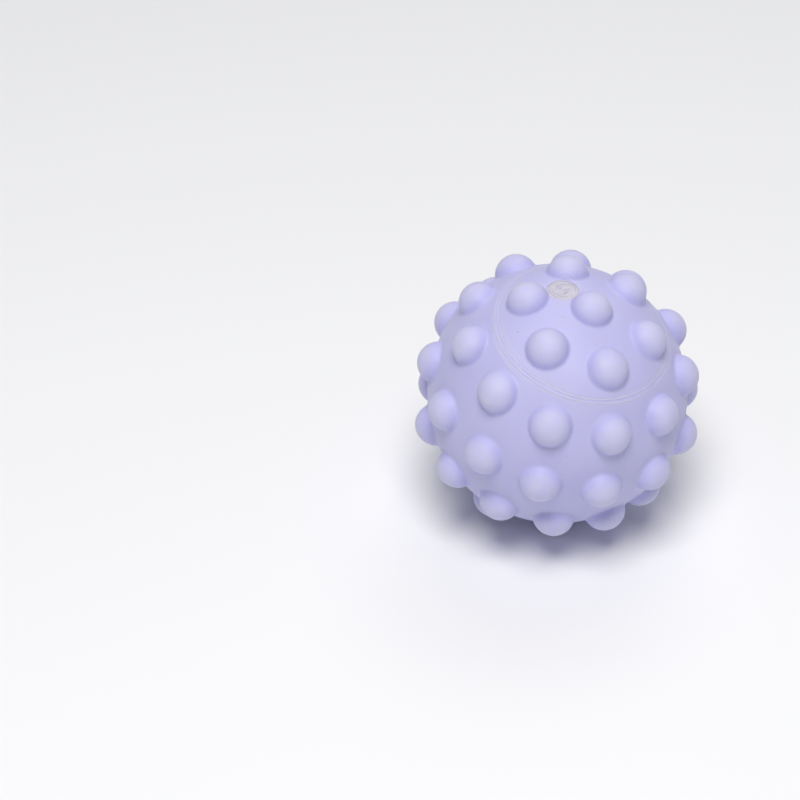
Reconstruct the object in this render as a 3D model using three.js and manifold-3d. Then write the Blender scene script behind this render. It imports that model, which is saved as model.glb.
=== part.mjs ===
// Hollow soft massage ball with moulded nubs. Millimetres, +Z up.
//
// The ball lies on the plane z = 0 on three of its nubs, with the origin under its centre. Its skin is two
// moulded shells, a bowl and a smaller cap, bonded along a circular seam. The rings of nubs are laid out round
// the mould axis, which runs from the cap's pole nub through the ball's centre.
import * as THREE from 'three';
import { mergeVertices } from 'three/addons/utils/BufferGeometryUtils.js';
import Module from 'manifold-3d';

const { degToRad } = THREE.MathUtils;

// Skin
const BODY_RADIUS = 30; // outside of the skin, between the nubs
const WALL = 2.5;
const CAVITY_RADIUS = BODY_RADIUS - WALL;

// Nubs: domes whose centres lie a little under the skin's surface
const NUB_RADIUS = 4.9;
const NUB_RISE = 3.8; // tip of a nub above the skin
const NUB_CENTRE = BODY_RADIUS + NUB_RISE - NUB_RADIUS; // distance from the ball's centre
const DOME_END = BODY_RADIUS - 0.4; // a dome carries on a little under the skin before its root goes straight down
const NUB_ROOT = BODY_RADIUS - 1.4; // where a nub's root ends, inside the wall

// Rings of nubs, from the cap's pole to the far pole. polar is measured from the mould axis, and turn, in
// pitches of the ring, from the meridian on which the other rings start.
const RINGS = [
  { polar: 0, nubs: 1, turn: 0 },
  { polar: 28.5, nubs: 6, turn: 0 },
  { polar: 57, nubs: 11, turn: 0 },
  { polar: 85.5, nubs: 13, turn: 0 },
  { polar: 114, nubs: 13, turn: 0.5 },
  { polar: 146, nubs: 7, turn: 0 },
  { polar: 180, nubs: 1, turn: 0 },
];
const CAP_RINGS = 2; // the rings that belong to the cap

// Seam between the two shells, and the bond bead in its channel
const SEAM_POLAR = 42.5;
const CLEARANCE = 0.3; // between pieces that touch on the real ball
const CHANNEL_HALF_WIDTH = 0.8;
const CHANNEL_FLOOR = 28.2; // distance from the ball's centre
const LIP_RISE = 0.2; // the shells' edges stand up a little along the seam
const LIP_WIDTH = 0.5;

// Closure plug, between the pole nub and two nubs of the first ring
const PLUG_POLAR = 16.5;
const PLUG_PITCHES = -2.5; // of the first ring, from the start meridian
const PLUG_HEAD_RADIUS = 3.3;
const PLUG_HEAD_DEPTH = 1.4;
const PLUG_STEM_RADIUS = 1.8;
const PLUG_BARB_RADIUS = 2.8;
const PLUG_BARB_DEPTH = 1.1;
const BOSS_RADIUS = 5;
const BOSS_DEPTH = 1.5; // thickening of the wall round the plug's hole

// Resting pose: the far pole's nub and two nubs of the last ring but one touch the floor, and each is pressed
// flat by the weight of the ball.
const CONTACT_SINK = 0.2;
const LAST_RING = RINGS[5];
const LAST_RING_FROM_POLE = degToRad(180 - LAST_RING.polar);
const LAST_RING_HALF_PITCH = Math.PI / LAST_RING.nubs;
const REST_LEAN = Math.atan(
  (1 - Math.cos(LAST_RING_FROM_POLE)) / (Math.sin(LAST_RING_FROM_POLE) * Math.cos(LAST_RING_HALF_PITCH)),
);
const REST_HEADING = degToRad(-42.2); // the way that the mould axis leans, from +X
const REST_HEIGHT = NUB_CENTRE * Math.cos(REST_LEAN) + NUB_RADIUS - CONTACT_SINK;

// Fineness of the solids
const SKIN_SIDES = 36;
const SKIN_STEP = degToRad(10);
const NUB_SIDES = 10;
const NUB_STEPS = 4;
const PLUG_SIDES = 24;

// Materials
const lavender = { color: 0xc6c4ee, roughness: 0.62, metalness: 0 };
const deepLavender = { color: 0xbcb9ea, roughness: 0.55, metalness: 0 };
const greyWhite = { color: 0xc9c7d3, roughness: 0.5, metalness: 0 };

const wasm = await Module();
wasm.setup();

// --- Solids and meshes ---

function toSolid(geometry) {
  const bare = geometry.clone();
  bare.deleteAttribute('normal');
  bare.deleteAttribute('uv');
  const welded = mergeVertices(bare, 1e-4);
  return new wasm.Manifold(
    new wasm.Mesh({
      numProp: 3,
      vertProperties: Float32Array.from(welded.attributes.position.array),
      triVerts: Uint32Array.from(welded.index.array),
    }),
  );
}

function toGeometry(solid) {
  const { vertProperties, triVerts, numProp } = solid.getMesh();
  const position = new Float32Array((vertProperties.length / numProp) * 3);
  for (let i = 0; i < position.length / 3; i += 1) {
    position.set(vertProperties.subarray(i * numProp, i * numProp + 3), i * 3);
  }
  const geometry = new THREE.BufferGeometry();
  geometry.setAttribute('position', new THREE.BufferAttribute(position, 3));
  geometry.setIndex([...triVerts]);
  geometry.computeVertexNormals();
  return geometry;
}

function namedMesh(name, geometry, material) {
  const mesh = new THREE.Mesh(geometry, new THREE.MeshStandardMaterial(material));
  mesh.name = name;
  return mesh;
}

// A profile of (distance from the axis, height) points, turned round +Z.
function turned(profile, sides) {
  const points = profile.map(([radius, height]) => new THREE.Vector2(radius, height));
  return new THREE.LatheGeometry(points, sides).rotateX(Math.PI / 2);
}

// --- Places on the ball, in the mould's frame ---

// A profile point at a distance from the centre and an angle from the mould axis, moved along by an arc.
function polarPoint(radius, angle, arc = 0) {
  const at = angle + arc / BODY_RADIUS;
  return [radius * Math.sin(at), radius * Math.cos(at)];
}

// Profile points along an arc from one polar angle to another. One at a pole lies exactly on the axis.
function polarArc(radius, from, to) {
  const steps = Math.ceil(Math.abs(to - from) / SKIN_STEP);
  const points = [];
  for (let i = 0; i <= steps; i += 1) {
    const angle = from + ((to - from) * i) / steps;
    const [across, height] = polarPoint(radius, angle);
    points.push([Math.abs(across) < 1e-6 ? 0 : across, height]);
  }
  return points;
}

// Turns a shape made along +Z to point out of the ball at a polar angle and an azimuth.
function outwards(polar, azimuth) {
  return new THREE.Matrix4()
    .makeRotationZ(azimuth)
    .multiply(new THREE.Matrix4().makeRotationY(degToRad(polar)));
}

function ringPitch(ring) {
  return (2 * Math.PI) / ring.nubs;
}

// --- Nubs ---

function nubGeometry() {
  const domeAngle = Math.acos(
    (DOME_END ** 2 - NUB_CENTRE ** 2 - NUB_RADIUS ** 2) / (2 * NUB_CENTRE * NUB_RADIUS),
  );
  const rootRadius = NUB_RADIUS * Math.sin(domeAngle);
  const profile = [[0, NUB_ROOT], [rootRadius, NUB_ROOT]];
  for (let i = NUB_STEPS; i > 0; i -= 1) {
    const angle = (domeAngle * i) / NUB_STEPS;
    profile.push([NUB_RADIUS * Math.sin(angle), NUB_CENTRE + NUB_RADIUS * Math.cos(angle)]);
  }
  profile.push([0, NUB_CENTRE + NUB_RADIUS]);
  return turned(profile, NUB_SIDES);
}

function addNubs(shell, rings) {
  const nub = nubGeometry();
  let skin = shell;
  for (const ring of rings) {
    for (let i = 0; i < ring.nubs; i += 1) {
      const azimuth = (i + ring.turn) * ringPitch(ring);
      skin = skin.add(toSolid(nub.clone().applyMatrix4(outwards(ring.polar, azimuth))));
    }
  }
  return skin;
}

// --- Shells ---

// Profile points of a shell's edge at the seam, from the cavity out to the skin. side is +1 for the bowl's
// edge and -1 for the cap's.
function seamEdge(side) {
  const seam = degToRad(SEAM_POLAR);
  const face = (side * CLEARANCE) / 2;
  const channel = side * CHANNEL_HALF_WIDTH;
  const lip = side * (CHANNEL_HALF_WIDTH + LIP_WIDTH);
  const lipFoot = side * (CHANNEL_HALF_WIDTH + 2 * LIP_WIDTH);
  return [
    polarPoint(CAVITY_RADIUS, seam, face),
    polarPoint(CHANNEL_FLOOR, seam, face),
    polarPoint(CHANNEL_FLOOR, seam, channel),
    polarPoint(BODY_RADIUS + LIP_RISE / 2, seam, channel),
    polarPoint(BODY_RADIUS + LIP_RISE, seam, (channel + lip) / 2),
    polarPoint(BODY_RADIUS, seam, lipFoot),
  ];
}

function shellGeometry(side, pole) {
  const seam = degToRad(SEAM_POLAR);
  const innerEnd = seam + (side * CLEARANCE) / 2 / BODY_RADIUS;
  const outerEnd = seam + (side * (CHANNEL_HALF_WIDTH + 2 * LIP_WIDTH)) / BODY_RADIUS;
  const inner = polarArc(CAVITY_RADIUS, pole, innerEnd).slice(0, -1);
  const outer = polarArc(BODY_RADIUS, outerEnd, pole).slice(1);
  const profile = [...inner, ...seamEdge(side), ...outer];
  return turned(side > 0 ? profile.reverse() : profile, SKIN_SIDES);
}

// The space under the floor, in the mould's frame.
function floorGeometry(restPose) {
  const size = 4 * BODY_RADIUS;
  const underFloor = new THREE.BoxGeometry(size, size, size).translate(0, 0, -size / 2);
  return underFloor.applyMatrix4(restPose.clone().invert());
}

function skinBowl(restPose) {
  const shell = toSolid(shellGeometry(1, Math.PI));
  const solid = addNubs(shell, RINGS.slice(CAP_RINGS)).subtract(toSolid(floorGeometry(restPose)));
  return namedMesh('skin_bowl', toGeometry(solid), lavender);
}

const plugPlace = outwards(PLUG_POLAR, PLUG_PITCHES * ringPitch(RINGS[1]));
const bossEnd = CAVITY_RADIUS - BOSS_DEPTH;
const plugHeadFloor = BODY_RADIUS - PLUG_HEAD_DEPTH;

// A plain cylinder round +Z between two distances from the ball's centre.
function post(radius, from, to) {
  const height = to - from;
  return new THREE.CylinderGeometry(radius, radius, height, PLUG_SIDES)
    .rotateX(Math.PI / 2)
    .translate(0, 0, from + height / 2);
}

function skinCap() {
  const boss = post(BOSS_RADIUS, bossEnd, CAVITY_RADIUS + WALL / 2);
  const counterbore = post(PLUG_HEAD_RADIUS + CLEARANCE, plugHeadFloor - CLEARANCE, BODY_RADIUS + 1);
  const hole = post(PLUG_STEM_RADIUS + CLEARANCE, bossEnd - 1, BODY_RADIUS);
  const placed = (geometry) => toSolid(geometry.applyMatrix4(plugPlace));
  const solid = addNubs(toSolid(shellGeometry(-1, 0)), RINGS.slice(0, CAP_RINGS))
    .add(placed(boss))
    .subtract(placed(counterbore))
    .subtract(placed(hole));
  return namedMesh('skin_cap', toGeometry(solid), lavender);
}

// --- Seam bead and plug ---

function seamBead() {
  const seam = degToRad(SEAM_POLAR);
  const half = CHANNEL_HALF_WIDTH - CLEARANCE;
  const foot = CHANNEL_FLOOR + CLEARANCE;
  const profile = [
    polarPoint(foot, seam, half),
    polarPoint(BODY_RADIUS - LIP_RISE, seam, half),
    polarPoint(BODY_RADIUS, seam, 0),
    polarPoint(BODY_RADIUS - LIP_RISE, seam, -half),
    polarPoint(foot, seam, -half),
    polarPoint(foot, seam, half),
  ];
  return namedMesh('seam_bead', turned(profile, SKIN_SIDES), deepLavender);
}

function closurePlug() {
  const headEdge = Math.sqrt(BODY_RADIUS ** 2 - PLUG_HEAD_RADIUS ** 2);
  const barbTop = bossEnd - CLEARANCE;
  const barbEnd = barbTop - PLUG_BARB_DEPTH;
  const profile = [
    [0, barbEnd],
    [PLUG_STEM_RADIUS * 0.8, barbEnd],
    [PLUG_BARB_RADIUS, barbTop],
    [PLUG_STEM_RADIUS, barbTop],
    [PLUG_STEM_RADIUS, plugHeadFloor],
    [PLUG_HEAD_RADIUS, plugHeadFloor],
    [PLUG_HEAD_RADIUS, headEdge],
    [PLUG_HEAD_RADIUS / 2, (headEdge + 3 * BODY_RADIUS) / 4],
    [0, BODY_RADIUS],
  ];
  const geometry = turned(profile, PLUG_SIDES).applyMatrix4(plugPlace);
  return namedMesh('closure_plug', geometry, greyWhite);
}

// --- The ball at rest ---

const ball = new THREE.Group();
ball.position.z = REST_HEIGHT;
ball.rotation.z = REST_HEADING;
const leaning = new THREE.Group();
leaning.rotation.y = REST_LEAN;
const mould = new THREE.Group();
mould.rotation.z = -LAST_RING_HALF_PITCH; // two nubs of the last ring but one straddle the lean
ball.add(leaning);
leaning.add(mould);
ball.updateMatrixWorld(true);

mould.add(skinBowl(mould.matrixWorld), skinCap(), seamBead(), closurePlug());

export default ball;
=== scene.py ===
"""Looks of the soft massage ball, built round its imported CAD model.

The skin is a heavy-walled PVC moulding in two shells, a bowl and a cap, whose outsides are spheres drawn
out into nubs. Every surface here is a stack of rings of points: rings round the mould axis for the bowl and
the seam bead, and rings that pass from the plug's hole to the seam for the cap. Directions are kept in the
mould's frame, whose +Z runs out through the cap's pole nub and whose +X meridian carries the first nub of
the plain rings.
"""
import math

import bpy
import numpy as np
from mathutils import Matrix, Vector


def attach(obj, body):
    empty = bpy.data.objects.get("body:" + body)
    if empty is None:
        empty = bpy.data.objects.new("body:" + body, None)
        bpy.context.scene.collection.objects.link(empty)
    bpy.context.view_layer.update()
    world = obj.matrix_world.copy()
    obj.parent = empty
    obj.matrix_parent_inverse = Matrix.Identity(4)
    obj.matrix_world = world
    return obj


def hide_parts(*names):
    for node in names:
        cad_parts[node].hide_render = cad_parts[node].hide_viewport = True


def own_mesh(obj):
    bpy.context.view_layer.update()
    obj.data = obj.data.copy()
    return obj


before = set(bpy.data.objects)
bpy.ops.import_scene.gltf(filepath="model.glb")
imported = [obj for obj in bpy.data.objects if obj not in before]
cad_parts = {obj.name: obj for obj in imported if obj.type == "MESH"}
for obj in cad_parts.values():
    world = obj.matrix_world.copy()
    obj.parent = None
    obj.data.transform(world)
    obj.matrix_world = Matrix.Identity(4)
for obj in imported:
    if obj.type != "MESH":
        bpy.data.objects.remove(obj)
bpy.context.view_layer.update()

MM = 0.001

# Skin and nubs
BODY_RADIUS = 30 * MM
CAVITY_RADIUS = 27.5 * MM
NUB_RADIUS = 4.9 * MM
NUB_CENTRE = 28.9 * MM      # distance of a dome's centre from the ball's centre
NUB_RISE = NUB_CENTRE + NUB_RADIUS - BODY_RADIUS
FOOT_FILLET = 0.75 * MM
# Rings of nubs: degrees from the mould axis, how many, and the turn of the ring in pitches
RINGS = [(0, 1, 0), (28.5, 6, 0), (57, 11, 0), (85.5, 13, 0), (114, 13, 0.5), (146, 7, 0), (180, 1, 0)]

# Seam and plug: places from the mould axis, and sizes across and along the plug's own axis
SEAM_POLAR = math.radians(42.5)
PLUG_POLAR = math.radians(16.5)
PLUG_AZIMUTH = math.radians(-150)
PLUG_RADIUS = 3.45 * MM      # fills the clearance that the CAD leaves round it
PLUG_STEM_RADIUS = 1.8 * MM
PLUG_BARB_RADIUS = 2.8 * MM
PLUG_GAP = 0.03 * MM
PLUG_HEAD_LIFT = 0.1 * MM    # of the head off the floor of its counterbore
BARB_CLEARANCE = 0.15 * MM   # under the boss
BARB_STEP = 0.4 * MM         # depth of the barb before it tapers
BARB_DEPTH = 1.1 * MM
COUNTERBORE_FLOOR = 28.4 * MM
BOSS_RADIUS = 5 * MM
BOSS_END = 26 * MM
CHANNEL_FLOOR = 28.2 * MM    # under the seam, from the ball's centre
SHELL_EDGE_DROP = 0.25 * MM  # from the skin down to where a shell's edge turns straight
SHELL_GAP = 0.1 * MM         # half the gap between the shells below the channel
BOND_FLOOR = 28.3 * MM
BOND_RISE = 0.02 * MM        # of the bond's sides over the skin
BOND_DIP = 0.03 * MM         # of its middle below its sides
BOND_SIDE_GAP = 0.01 * MM

# Fineness
COLUMNS = 440
SKIN_STEP = 0.46 * MM
FOOT_CROWDING = 1.6         # how much closer together points are in the fillet at a nub's foot

TAU = 2 * math.pi


# --- Where the ball is ---

def node_points(name):
    """All points of a CAD node, in the row's frame."""
    return np.array([v.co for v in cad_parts[name].data.vertices], float)


def unit(v):
    return v / np.linalg.norm(v, axis=-1, keepdims=True)


def mould_frame():
    """(ball's centre, matrix whose columns are the mould's axes), from the CAD's seam bead and plug."""
    bead = node_points("seam_bead")
    middle = bead.mean(0)
    axis = np.linalg.svd(bead - middle)[2][2]
    axis *= np.sign(axis[2])
    out = bead - middle
    ring_radius = np.linalg.norm(out - np.outer(out @ axis, axis), axis=1).mean()
    centre = middle - axis * ring_radius / math.tan(SEAM_POLAR)
    towards_plug = node_points("closure_plug").mean(0) - centre
    across = unit(towards_plug - axis * (towards_plug @ axis))
    beside = np.cross(axis, across)
    start = across * math.cos(-PLUG_AZIMUTH) + beside * math.sin(-PLUG_AZIMUTH)
    return centre, np.column_stack([start, np.cross(axis, start), axis])


CENTRE, MOULD_AXES = mould_frame()


def to_row(points):
    return points @ MOULD_AXES.T + CENTRE


# --- Directions in the mould's frame ---

def direction(polar, azimuth):
    polar, azimuth = np.broadcast_arrays(np.asarray(polar, float), np.asarray(azimuth, float))
    return np.stack(
        [np.sin(polar) * np.cos(azimuth), np.sin(polar) * np.sin(azimuth), np.cos(polar)], axis=-1
    )


def angle_between(a, b):
    return np.arctan2(np.linalg.norm(np.cross(a, b), axis=-1), (a * b).sum(-1))


def bump(x, middle, width):
    """A smooth bump, 1 at the middle."""
    return np.exp(-(((x - middle) / width) ** 2))


def around(azimuth, middle_deg, width_deg):
    """A bump in azimuth that wraps round the ball."""
    off = (np.degrees(azimuth) - middle_deg + 180) % 360 - 180
    return np.exp(-((off / width_deg) ** 2))


# --- Nubs ---

def nub_axes():
    rows = []
    for polar, count, turn in RINGS:
        for i in range(count):
            rows.append(direction(math.radians(polar), (i + turn) * TAU / count))
    return np.array(rows)


NUB_AXES = nub_axes()


def nub_profile():
    """(angles from the nub's axis, distances from the ball's centre) along the dome, its fillet and a sliver
    of skin. Points are evenly spaced but for the fillet, where they crowd."""
    rf = BODY_RADIUS + FOOT_FILLET
    nf = NUB_RADIUS + FOOT_FILLET
    foot = math.acos((rf**2 + NUB_CENTRE**2 - nf**2) / (2 * rf * NUB_CENTRE))
    fillet = np.array([rf * math.sin(foot), rf * math.cos(foot)])
    slope = math.atan2(fillet[0], fillet[1] - NUB_CENTRE)
    dome = np.linspace(0, slope, 200)
    points = [np.column_stack([NUB_RADIUS * np.sin(dome), NUB_CENTRE + NUB_RADIUS * np.cos(dome)])]
    turn = np.linspace(slope + math.pi, foot + math.pi, 60)[1:]
    points.append(fillet + FOOT_FILLET * np.column_stack([np.sin(turn), np.cos(turn)]))
    end = foot + 0.15 * MM / BODY_RADIUS
    skin = np.linspace(foot, end, 12)[1:]
    points.append(BODY_RADIUS * np.column_stack([np.sin(skin), np.cos(skin)]))
    outline = np.vstack(points)
    steps = np.linalg.norm(np.diff(outline, axis=0), axis=1)
    steps[len(dome):] *= FOOT_CROWDING
    length = np.concatenate([[0], np.cumsum(steps)])
    even = np.linspace(0, length[-1], 400)
    x, y = np.interp(even, length, outline[:, 0]), np.interp(even, length, outline[:, 1])
    return np.arctan2(x, y), np.hypot(x, y)


PROFILE_ANGLE, PROFILE_RADIUS = nub_profile()
NUB_REACH = PROFILE_ANGLE[-1]


def skin_waviness(d):
    """Slight unevenness of a soft moulding, in metres."""
    wave = np.zeros(d.shape[:-1])
    for k, (x, y, z) in enumerate([(5, 2, -3), (-3, 6, 2), (2, -5, 7), (7, 4, 5), (-6, 3, -8)]):
        wave += np.sin(d @ np.array([x, y, z]) + 1.7 * k) / (1 + 0.4 * k)
    return 0.035 * MM * wave


def skin_surface(d):
    """The skin's outside for directions d: (points, how far up a nub each is, from 0 to 1). Inside a nub's
    reach the skin is drawn out over the nub's outline, so the points stay evenly spread."""
    flat = d.reshape(-1, 3)
    close = flat @ NUB_AXES.T
    nearest = close.argmax(1)
    axis = NUB_AXES[nearest]
    angle = angle_between(flat, axis)
    on_nub = angle < NUB_REACH
    share = np.clip(angle / NUB_REACH, 0, 1)
    steps = np.linspace(0, 1, len(PROFILE_ANGLE))
    new_angle = np.where(on_nub, np.interp(share, steps, PROFILE_ANGLE), angle)
    radius = np.where(on_nub, np.interp(share, steps, PROFILE_RADIUS), BODY_RADIUS)
    aside = flat - axis * np.cos(angle)[:, None]
    aside = np.where(angle[:, None] > 1e-7, aside / np.maximum(np.sin(angle), 1e-9)[:, None], 0)
    turned = axis * np.cos(new_angle)[:, None] + aside * np.sin(new_angle)[:, None]
    points = turned * (radius + skin_waviness(flat))[:, None]
    rise = (radius - BODY_RADIUS) / NUB_RISE
    return points.reshape(d.shape), rise.reshape(d.shape[:-1])


# --- Meshes from rings ---

def quads_between(rings, columns):
    """Faces between each ring and the next, both closed. Ring i starts at point i * columns."""
    j = np.arange(columns)
    nxt = (j + 1) % columns
    faces = []
    for a in range(rings - 1):
        this, after = a * columns, (a + 1) * columns
        faces.append(np.column_stack([this + j, after + j, after + nxt, this + nxt]))
    return np.vstack(faces)


def ring_mesh(name, rings, first_tip=None, last_tip=None, closed=False, masks=None):
    """A smooth mesh through rings of points, with a point at either end or closed on itself."""
    columns = len(rings[0])
    points = np.vstack(rings)
    faces = quads_between(len(rings), columns).tolist()
    j = np.arange(columns)
    nxt = (j + 1) % columns
    last = (len(rings) - 1) * columns
    if closed:
        faces += np.column_stack([last + j, j, nxt, last + nxt]).tolist()
    for tip, start, ahead in ((first_tip, 0, False), (last_tip, last, True)):
        if tip is None:
            continue
        points = np.vstack([points, tip])
        at = np.full(columns, len(points) - 1)
        ring = (start + j, start + nxt)
        faces += np.column_stack([*(ring[::-1] if ahead else ring), at]).tolist()
    mesh = bpy.data.meshes.new(name)
    mesh.from_pydata(to_row(points).tolist(), [], faces)
    mesh.polygons.foreach_set("use_smooth", [True] * len(mesh.polygons))
    mesh.set_sharp_from_angle(angle=math.radians(50))
    for mask_name, rows in (masks or {}).items():
        values = np.full(len(points), rows[-1][0], np.float32)
        values[: len(rings) * columns] = np.concatenate(rows)
        mesh.attributes.new(mask_name, "FLOAT", "POINT").data.foreach_set("value", values)
    mesh.update()
    piece = bpy.data.objects.new(name, mesh)
    bpy.context.scene.collection.objects.link(piece)
    return piece


# --- Seam ---

def seam_half_width(azimuth):
    """Half the distance between the seam's two ridges. It opens out on either side of the front."""
    return MM * (0.42 + 0.2 * around(azimuth, 42, 26) + 0.15 * around(azimuth, -78, 26)
                 + 0.2 * around(azimuth, 165, 60) + 0.02 * np.sin(7 * azimuth))


def seam_relief(x, azimuth):
    """(how far the skin stands up at an arc x from the seam's middle, how much painted highlight lies
    there): a fine parting-line ridge of excess moulding, with wrinkles beside it at the left and the back.
    The painted highlight is paler colour along the crests of the ridge and the wrinkles."""
    width = seam_half_width(azimuth)
    wrinkled = around(azimuth, -74, 34) + 0.5 * around(azimuth, 50, 24) + 0.4 * around(azimuth, 190, 50)
    ridge = bump(x, width, 0.15 * MM)
    second = wrinkled * bump(x, width + 0.52 * MM, 0.14 * MM)
    third = wrinkled**2 * bump(x, width + 1.05 * MM + 0.1 * MM * np.sin(5 * azimuth), 0.16 * MM)
    groove = bump(x, width + 0.27 * MM, 0.12 * MM)
    uneven = 0.8 + 0.2 * np.sin(13 * azimuth) * np.sin(5 * azimuth + 1)
    relief = 0.07 * ridge * uneven + 0.045 * second + 0.035 * third - 0.03 * groove
    # The second value is painted highlight: paler colour on the crests of the ridge and the wrinkles
    return MM * relief, np.clip(ridge * uneven + 0.5 * second + 0.4 * third, 0, 1)


EDGE_INSET = 0.14 * MM       # from a ridge's top in to its shell's edge
# Arcs from a shell's edge out to each of the rings beside the seam
SEAM_STEPS = np.concatenate([
    np.arange(0, 1.6, 0.08), np.arange(1.6, 2.6, 0.2)
]) * MM


def seam_rings(side, azimuths):
    """Rings of the skin's outside next to the seam, from the shell's edge outwards, how much of each is nub
    and how much painted highlight each gets along the seam's ridges. side is +1 on the bowl and -1 on the
    cap."""
    rings, nubs, crest_highlight = [], [], []
    edge = seam_half_width(azimuths) - EDGE_INSET
    for step in SEAM_STEPS:
        x = step + edge * np.exp(-step / (0.9 * MM))
        d = direction(SEAM_POLAR + side * x / BODY_RADIUS, azimuths)
        points, mask = skin_surface(d)
        # relief raises the ridges; pale is painted highlight on their crests
        relief, pale = seam_relief(x, azimuths)
        rings.append(points + d * relief[:, None])
        nubs.append(mask)
        crest_highlight.append(pale)
    return rings, nubs, crest_highlight


def edge_wall(side, azimuths):
    """The shell's edge under the seam: down the channel's wall, along its floor and down to the cavity."""
    edge = (seam_half_width(azimuths) - EDGE_INSET) / BODY_RADIUS
    inner_gap = SHELL_GAP / BODY_RADIUS
    walls = [
        (BODY_RADIUS - SHELL_EDGE_DROP, edge),
        (CHANNEL_FLOOR, edge),
        (CHANNEL_FLOOR, inner_gap),
        (CAVITY_RADIUS, inner_gap),
    ]
    return [radius * direction(SEAM_POLAR + side * x, azimuths) for radius, x in walls]


# --- Bowl ---

def make_bowl():
    azimuths = np.arange(COLUMNS) * TAU / COLUMNS
    rings, nubs, crest_highlight = seam_rings(1, azimuths)
    first = SEAM_POLAR + SEAM_STEPS[-1] / BODY_RADIUS
    count = math.ceil((math.pi - first) * BODY_RADIUS / SKIN_STEP)
    for polar in np.linspace(first, math.pi, count + 1)[1:-1]:
        points, mask = skin_surface(direction(polar, azimuths))
        rings.append(points)
        nubs.append(mask)
    inside = [CAVITY_RADIUS * direction(polar, azimuths)
              for polar in np.linspace(math.pi, SEAM_POLAR, 26)[1:-1]]
    walls = edge_wall(1, azimuths)[::-1]
    far_nub, _ = skin_surface(direction(math.pi, 0)[None])
    blank = [np.zeros(COLUMNS)]
    hidden = blank * (len(inside) + len(walls))
    # Masks: how far up a nub each point is, and painted highlight on the seam's ridges
    masks = {"nub": hidden + nubs, "crest_highlight": hidden + crest_highlight + blank * (len(rings) - len(crest_highlight))}
    far_inside = np.array([[0, 0, -CAVITY_RADIUS]])
    return ring_mesh("bowl_skin", inside + walls + rings, far_inside, far_nub, masks=masks)


def press_on_floor(piece):
    """The ball's weight presses the nubs that it lies on flat."""
    for vertex in piece.data.vertices:
        vertex.co.z = max(vertex.co.z, 0)
    piece.data.update()


# --- Cap ---

def plug_axes():
    """Columns: two directions across the plug and its axis."""
    axis = direction(PLUG_POLAR, PLUG_AZIMUTH)
    across = unit(np.array([0, 0, 1]) - axis * axis[2])
    return np.column_stack([across, np.cross(axis, across), axis])


def plug_circle(radius, height, azimuths):
    """A ring round the plug's axis, height being its distance from the ball's centre along that axis."""
    flat = np.stack([radius * np.cos(azimuths), radius * np.sin(azimuths),
                     np.broadcast_to(height, azimuths.shape)], axis=-1)
    return flat @ plug_axes().T


HOLE_RADIUS = PLUG_RADIUS + PLUG_GAP


def cap_family():
    """Rings of directions that pass from the plug's hole to a circle near the seam. On a stereographic
    picture of the cap, a Moebius map makes those two circles concentric, so the rings between them cross
    every column at right angles."""
    hole = math.asin(HOLE_RADIUS / BODY_RADIUS)
    outer = math.tan((SEAM_POLAR - SEAM_STEPS[-1] / BODY_RADIUS) / 2)
    low = math.tan((PLUG_POLAR - hole) / 2) / outer
    high = math.tan((PLUG_POLAR + hole) / 2) / outer
    total, product = low + high, 1 + low * high
    shift = (product - math.sqrt(product**2 - total**2)) / total
    inner = (high - shift) / (1 - shift * high)
    count = math.ceil(-math.log(inner) * COLUMNS / TAU)
    turn = np.exp(1j * np.arange(COLUMNS) * TAU / COLUMNS)
    rings = []
    for radius in np.geomspace(inner, 1, count):
        w = radius * turn
        z = outer * (w + shift) / (1 + shift * w)
        rings.append(direction(2 * np.arctan(np.abs(z)), np.angle(z) + PLUG_AZIMUTH))
    return rings


def plug_ripples(d):
    """(relief, painted highlight) of the shallow ripples of the skin round the plug: the highlight is paler
    colour on the ripples' crests.
    """
    axis = direction(PLUG_POLAR, PLUG_AZIMUTH)
    x = angle_between(d, axis) * BODY_RADIUS - HOLE_RADIUS
    waves = np.cos(TAU * x / (0.8 * MM)) * np.exp(-x / (1.4 * MM))
    return 0.045 * MM * waves, np.clip(0.9 * waves, 0, 0.8)


def make_cap():
    family = cap_family()
    azimuths = np.arctan2(family[-1][:, 1], family[-1][:, 0])
    near, near_nubs, near_crest_highlight = seam_rings(-1, azimuths)
    outside, nubs, crest_highlight = [], [], []
    for d in family[:-1]:
        points, mask = skin_surface(d)
        # Painted highlight on the crests of the ripples round the plug
        relief, pale = plug_ripples(d)
        outside.append(points + d * relief[:, None])
        nubs.append(mask)
        crest_highlight.append(pale)
    around_plug = family[0] @ plug_axes()
    about = np.arctan2(around_plug[:, 1], around_plug[:, 0])
    boss_foot_angle = math.asin(BOSS_RADIUS / CAVITY_RADIUS)
    axis = direction(PLUG_POLAR, PLUG_AZIMUTH)
    wide = [d for d in family if angle_between(d, axis).min() > 1.15 * boss_foot_angle]
    inside = [CAVITY_RADIUS * d for d in wide[::-6]]
    hole = [
        plug_circle(BOSS_RADIUS, CAVITY_RADIUS * math.cos(boss_foot_angle), about),
        plug_circle(BOSS_RADIUS, BOSS_END, about),
        plug_circle(PLUG_STEM_RADIUS + PLUG_GAP, BOSS_END, about),
        plug_circle(PLUG_STEM_RADIUS + PLUG_GAP, COUNTERBORE_FLOOR, about),
        plug_circle(HOLE_RADIUS, COUNTERBORE_FLOOR, about),
    ]
    order = outside + near[::-1] + edge_wall(-1, azimuths) + inside + hole
    nubs += near_nubs[::-1]
    # Painted highlight on the cap's side of the seam
    crest_highlight += near_crest_highlight[::-1]
    blank = [np.zeros(COLUMNS)] * (len(order) - len(nubs))
    return ring_mesh("cap_skin", order, closed=True, masks={"nub": nubs + blank, "crest_highlight": crest_highlight + blank})


# --- Seam bead ---

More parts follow.
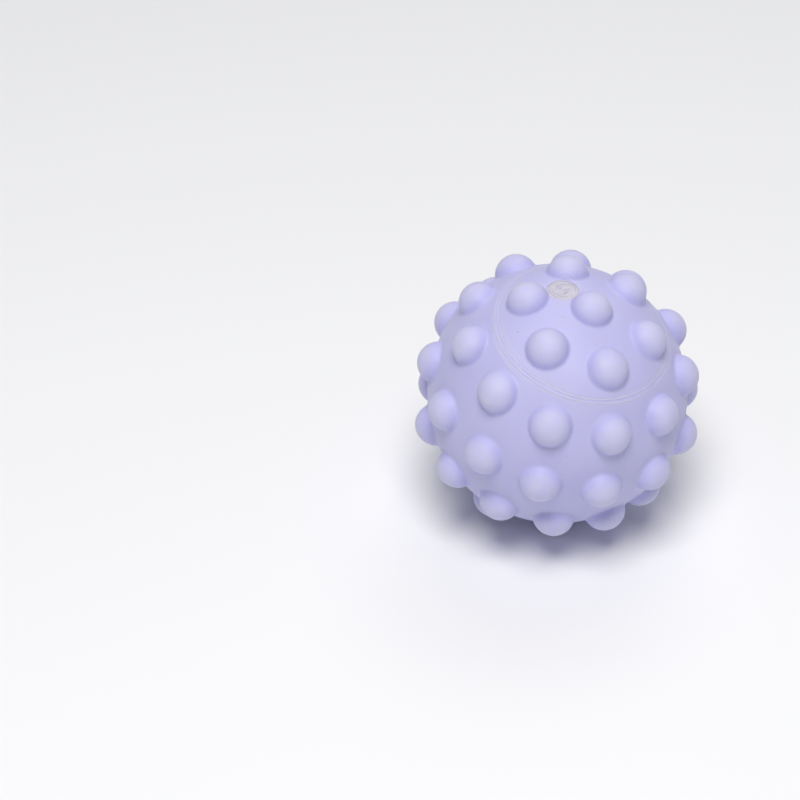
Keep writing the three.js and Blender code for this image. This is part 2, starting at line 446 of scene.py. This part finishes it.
def make_bead():
    """The bond that fills the channel: a little hollow between the ridges, and uneven along its length."""
    azimuths = np.arange(2 * COLUMNS) * TAU / (2 * COLUMNS)
    edge = (seam_half_width(azimuths) - EDGE_INSET - BOND_SIDE_GAP) / BODY_RADIUS
    uneven = 0.02 * MM * np.sin(11 * azimuths) + 0.015 * MM * np.sin(29 * azimuths + 1)
    dip = BOND_DIP + uneven
    section = []
    for share in np.linspace(-1, 1, 9):
        radius = BODY_RADIUS + BOND_RISE - dip * (1 - share**2)
        section.append(direction(SEAM_POLAR + share * edge, azimuths) * radius[:, None])
    for share in (1, -1):
        section.append(BOND_FLOOR * direction(SEAM_POLAR + share * edge, azimuths))
    return ring_mesh("seam_bond", section, closed=True)


# --- Plug ---

def plug_top(radius, azimuths):
    """(height, painted shade) of the plug's face: a shallow dome with swirled, broken ridges, and shade
    painted darker in the grooves between them.
    """
    dome = np.sqrt(BODY_RADIUS**2 - radius**2)
    twist = azimuths + 0.6 * np.sin(TAU * radius / (3.3 * MM))
    swirl = np.sin(TAU * radius / (0.8 * MM) + 1.5 * np.sin(twist) + 0.8 * np.sin(3 * twist + 1))
    broken = 0.65 + 0.35 * np.sin(2 * azimuths + radius / (0.6 * MM))
    fade = np.clip(radius / (0.5 * MM), 0, 1) * np.clip((PLUG_RADIUS - radius) / (0.3 * MM), 0, 1)
    ridges = swirl * broken * fade
    edge_drop = 0.03 * MM * bump(radius, PLUG_RADIUS, 0.2 * MM)
    # The second value is painted shade, darkest at the bottom of each groove
    return dome + 0.05 * MM * ridges - edge_drop, np.clip(-ridges, 0, 1)


def make_plug():
    azimuths = np.arange(144) * TAU / 144
    rings, painted_groove_shade = [], []
    for radius in np.linspace(0.08 * MM, PLUG_RADIUS, 44):
        height, groove = plug_top(radius, azimuths)
        rings.append(plug_circle(radius, height, azimuths))
        painted_groove_shade.append(groove)
    head_floor = COUNTERBORE_FLOOR + PLUG_HEAD_LIFT
    barb_top = BOSS_END - BARB_CLEARANCE
    for radius, height in (
        (PLUG_RADIUS, head_floor), (PLUG_STEM_RADIUS, head_floor), (PLUG_STEM_RADIUS, barb_top),
        (PLUG_BARB_RADIUS, barb_top), (PLUG_BARB_RADIUS * 0.9, barb_top - BARB_STEP),
        (PLUG_STEM_RADIUS * 0.8, barb_top - BARB_DEPTH),
    ):
        rings.append(plug_circle(radius, height, azimuths))
    top = plug_axes()[:, 2] * BODY_RADIUS
    foot = plug_axes()[:, 2] * (barb_top - BARB_DEPTH)
    painted_groove_shade += [np.zeros(len(azimuths))] * (len(rings) - len(painted_groove_shade))
    return ring_mesh("vent_plug", rings, top[None], foot[None], masks={"groove": painted_groove_shade})


# --- Materials ---

class Nodes:
    """Short forms for building one material's node tree."""

    def __init__(self, name):
        self.material = bpy.data.materials.new(name)
        self.material.use_nodes = True
        self.tree = self.material.node_tree
        self.surface = self.tree.nodes["Principled BSDF"]
        self.place = self.add("ShaderNodeTexCoord").outputs["Object"]

    def add(self, kind, settings=None, **values):
        node = self.tree.nodes.new(kind)
        for key, value in (settings or {}).items():
            setattr(node, key, value)
        for key, value in values.items():
            self.put(node.inputs[key.replace("_", " ")], value)
        return node

    def put(self, socket, value):
        if isinstance(value, bpy.types.NodeSocket):
            self.tree.links.new(value, socket)
        else:
            socket.default_value = value

    def mask(self, name):
        return self.add("ShaderNodeAttribute", {"attribute_name": name}).outputs["Fac"]

    def near(self, point, radius):
        """1 within a radius of a point, in the row's frame."""
        gap = self.add("ShaderNodeVectorMath", {"operation": "DISTANCE"})
        self.put(gap.inputs[0], self.place)
        self.put(gap.inputs[1], tuple(point))
        return self.ramp(gap.outputs["Value"], 0.5 * radius, radius, 1.0, 0.0)

    def noise(self, scale, detail=3.0, roughness=0.55, distortion=0.0):
        node = self.add("ShaderNodeTexNoise", Vector=self.place, Scale=scale, Detail=detail,
                        Roughness=roughness, Distortion=distortion)
        return node.outputs["Fac"]

    def ramp(self, value, low, high, to_low=0.0, to_high=1.0):
        node = self.add("ShaderNodeMapRange", Value=value, From_Min=low, From_Max=high,
                        To_Min=to_low, To_Max=to_high)
        return node.outputs["Result"]

    def maths(self, operation, a, b):
        node = self.tree.nodes.new("ShaderNodeMath")
        node.operation = operation
        self.put(node.inputs[0], a)
        self.put(node.inputs[1], b)
        return node.outputs[0]

    def mix(self, share, a, b):
        node = self.tree.nodes.new("ShaderNodeMix")
        node.data_type = "RGBA"
        self.put(node.inputs["Factor"], share)
        self.put(node.inputs["A"], a)
        self.put(node.inputs["B"], b)
        return node.outputs["Result"]

    def bump(self, height, strength, distance, before=None):
        node = self.add("ShaderNodeBump", Strength=strength, Distance=distance, Height=height)
        if before is not None:
            self.put(node.inputs["Normal"], before)
        return node.outputs["Normal"]


def srgb(r, g, b):
    """A display colour out of 255 as a linear one."""
    return (*((x / 255 / 12.92) if x <= 10 else ((x / 255 + 0.055) / 1.055) ** 2.4 for x in (r, g, b)), 1.0)


LAVENDER = srgb(194, 192, 232)
LAVENDER_DEEP = srgb(190, 188, 231)
# Painted shade: a deeper, more saturated lavender for the crease round each nub's foot
LAVENDER_FOOT_SHADE = srgb(176, 173, 232)
LAVENDER_PALE = srgb(209, 207, 231)
# Paler lavender: painted highlight on the crests of the seam's ridges and of the ripples round the plug, and
# the tone of the pale streaks in the bond
PALE_HIGHLIGHT_AND_STREAK = srgb(211, 209, 242)
BOND = srgb(193, 190, 238)
SPECK = srgb(150, 146, 190)
PLUG_GREY = srgb(207, 203, 214)
# Darker grey of the plug: its random streaks, and painted shade in its swirl's grooves
PLUG_STREAK_AND_GROOVE_SHADE = srgb(160, 154, 172)


def soft_pvc(nodes, roughness, scatter):
    """Settings that the soft PVC pieces share: a soft matte skin that light enters a little way."""
    surface = nodes.surface.inputs
    surface["Specular IOR Level"].default_value = 0.42
    surface["IOR"].default_value = 1.5
    surface["Subsurface Weight"].default_value = scatter
    surface["Subsurface Radius"].default_value = (0.4, 0.4, 1.2)
    surface["Subsurface Scale"].default_value = 2.0 * MM
    surface["Sheen Weight"].default_value = 0.12
    surface["Sheen Roughness"].default_value = 0.5
    nodes.put(surface["Roughness"], roughness)


# Dirt specks moulded into the skin: polar angle and azimuth in degrees, radius in mm
MARKS = [(34.2, -88, 0.32), (14, -84, 0.25), (68.2, -20.6, 0.28), (53.5, 21.1, 0.28)]


def skin_material():
    n = Nodes("lavender_pvc")
    rise = n.mask("nub")
    nub = n.ramp(rise, 0.32, 0.9)
    # Painted shade in the crease at each nub's foot
    foot = n.maths("MULTIPLY", n.ramp(rise, 0, 0.05), n.ramp(rise, 0.12, 0.55, 1.0, 0.0))
    cloud = n.ramp(n.noise(55, 3), 0.35, 0.65)
    colour = n.mix(cloud, LAVENDER, LAVENDER_DEEP)
    colour = n.mix(n.maths("MULTIPLY", foot, 0.3), colour, LAVENDER_FOOT_SHADE)
    worn = n.maths("MULTIPLY", nub, n.ramp(n.noise(240, 4), 0.3, 0.7, 0.35, 0.75))
    colour = n.mix(worn, colour, LAVENDER_PALE)
    grain = n.ramp(n.noise(1600, 2), 0.3, 0.7, 0.0, 0.06)
    colour = n.mix(grain, colour, LAVENDER_PALE)
    cells = n.add("ShaderNodeTexVoronoi", Vector=n.place, Scale=125.0)
    dots = n.ramp(cells.outputs["Distance"], 0.012, 0.028, 1.0, 0.0)
    lot = n.add("ShaderNodeSeparateColor", Color=cells.outputs["Color"]).outputs[0]
    chosen = n.maths("GREATER_THAN", lot, 0.9)
    colour = n.mix(n.maths("MULTIPLY", n.maths("MULTIPLY", dots, chosen), 0.45), colour, SPECK)
    for polar, azimuth, radius in MARKS:
        point = to_row(1.002 * BODY_RADIUS * direction(math.radians(polar), math.radians(azimuth)))
        colour = n.mix(n.maths("MULTIPLY", n.near(point, radius * MM), 0.5), colour, SPECK)
    # Painted highlight: paler colour along the crests of the seam's ridges and of the ripples round the plug
    colour = n.mix(n.maths("MULTIPLY", n.mask("crest_highlight"), 0.75), colour, PALE_HIGHLIGHT_AND_STREAK)
    n.put(n.surface.inputs["Base Color"], colour)
    rough = n.maths("ADD", n.ramp(n.noise(90, 4), 0.3, 0.7, 0.5, 0.6), n.maths("MULTIPLY", nub, 0.04))
    soft_pvc(n, rough, 0.35)
    fine = n.bump(n.noise(2600, 3), 0.12, 0.02 * MM)
    broad = n.bump(n.noise(320, 3), 0.1, 0.12 * MM, fine)
    n.put(n.surface.inputs["Normal"], broad)
    return n.material


def bond_material():
    n = Nodes("bond_pvc")
    streak = n.ramp(n.noise(700, 3), 0.35, 0.65)
    n.put(n.surface.inputs["Base Color"], n.mix(n.maths("MULTIPLY", streak, 0.3), BOND, PALE_HIGHLIGHT_AND_STREAK))
    soft_pvc(n, n.ramp(n.noise(500, 2), 0.3, 0.7, 0.5, 0.6), 0.1)
    n.put(n.surface.inputs["Normal"], n.bump(n.noise(1500, 3), 0.2, 0.05 * MM))
    return n.material


def plug_material():
    n = Nodes("clear_pvc_plug")
    streak = n.ramp(n.noise(520, 4, 0.6, 2.0), 0.3, 0.6, 0.55, 1.0)
    # Painted shade: the plug goes darker in its swirl's grooves, besides its random streaks
    pale = n.maths("MULTIPLY", streak, n.ramp(n.mask("groove"), 0.25, 1.0, 1.0, 0.1))
    colour = n.mix(pale, PLUG_STREAK_AND_GROOVE_SHADE, PLUG_GREY)
    n.put(n.surface.inputs["Base Color"], colour)
    soft_pvc(n, n.ramp(n.noise(600, 3), 0.3, 0.7, 0.32, 0.5), 0.3)
    n.put(n.surface.inputs["Normal"], n.bump(n.noise(1400, 4, 0.6, 1.5), 0.35, 0.08 * MM))
    return n.material


# --- Pieces on their bodies ---


def place(piece, body, node, material):
    """Gives a piece its material, hangs it on its body, hides the CAD node that it stands for and gives it a
    mesh of its own. A piece on the cap's body goes down with the ball's top."""
    piece.data.materials.append(material)
    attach(piece, body)
    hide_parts(node)
    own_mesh(piece)


skin = skin_material()
bowl = make_bowl()
press_on_floor(bowl)
place(bowl, "bowl", "skin_bowl", skin)
place(make_cap(), "cap", "skin_cap", skin)
place(make_bead(), "cap", "seam_bead", bond_material())
place(make_plug(), "cap", "closure_plug", plug_material())


# --- Floor, light and camera ---

def make_floor():
    mesh = bpy.data.meshes.new("floor")
    half = 3.0
    corners = [(-half, -half, 0), (half, -half, 0), (half, half, 0), (-half, half, 0)]
    mesh.from_pydata(corners, [], [(0, 1, 2, 3)])
    floor = bpy.data.objects.new("floor", mesh)
    bpy.context.scene.collection.objects.link(floor)
    n = Nodes("floor")
    shade = n.mix(n.noise(3), (0.91, 0.915, 0.915, 1), (0.92, 0.925, 0.925, 1))
    n.put(n.surface.inputs["Base Color"], shade)
    n.surface.inputs["Roughness"].default_value = 0.8
    mesh.materials.append(n.material)


def area_light(name, towards, distance, size, power, colour):
    light = bpy.data.lights.new(name, "AREA")
    light.shape = "DISK"
    light.size = size
    light.energy = power
    light.color = colour
    lamp = bpy.data.objects.new(name, light)
    lamp.location = Vector(CENTRE) + Vector(towards).normalized() * distance
    lamp.rotation_mode = "QUATERNION"
    lamp.rotation_quaternion = Vector(towards).to_track_quat("Z", "Y")
    bpy.context.scene.collection.objects.link(lamp)


def make_lights():
    world = bpy.data.worlds.new("studio")
    world.use_nodes = True
    background = world.node_tree.nodes["Background"]
    background.inputs["Color"].default_value = (0.82, 0.85, 1.0, 1)
    background.inputs["Strength"].default_value = 0.24
    bpy.context.scene.world = world
    area_light(
        "key", towards=(-0.03, -0.4, 0.92), distance=1.1, size=0.6, power=10.2, colour=(1, 0.985, 0.955)
    )
    area_light("back", towards=(0.1, 0.6, 0.8), distance=1.3, size=0.9, power=3.0, colour=(1, 0.995, 0.98))


def make_camera():
    """A long lens at the photo's angle, from the front and above, with the ball right of the middle."""
    elevation = math.radians(36.2)
    distance = 0.75
    frame_width = 0.18506       # what the frame's side spans at the ball
    aside, up = -0.03627, -0.00283   # the frame's middle from the ball's centre
    camera = bpy.data.objects.new("camera", bpy.data.cameras.new("camera"))
    camera.data.sensor_width = 36
    camera.data.lens = camera.data.sensor_width * distance / frame_width
    back = Vector((0, -math.cos(elevation), math.sin(elevation)))
    above = Vector((0, math.sin(elevation), math.cos(elevation)))
    camera.location = Vector(CENTRE) + back * distance
    target = Vector(CENTRE) + Vector((1, 0, 0)) * aside + above * up
    camera.rotation_mode = "QUATERNION"
    camera.rotation_quaternion = (camera.location - target).to_track_quat("Z", "Y")
    bpy.context.scene.collection.objects.link(camera)
    bpy.context.scene.camera = camera


make_floor()
make_lights()
make_camera()
bpy.context.scene.view_settings.view_transform = "Standard"
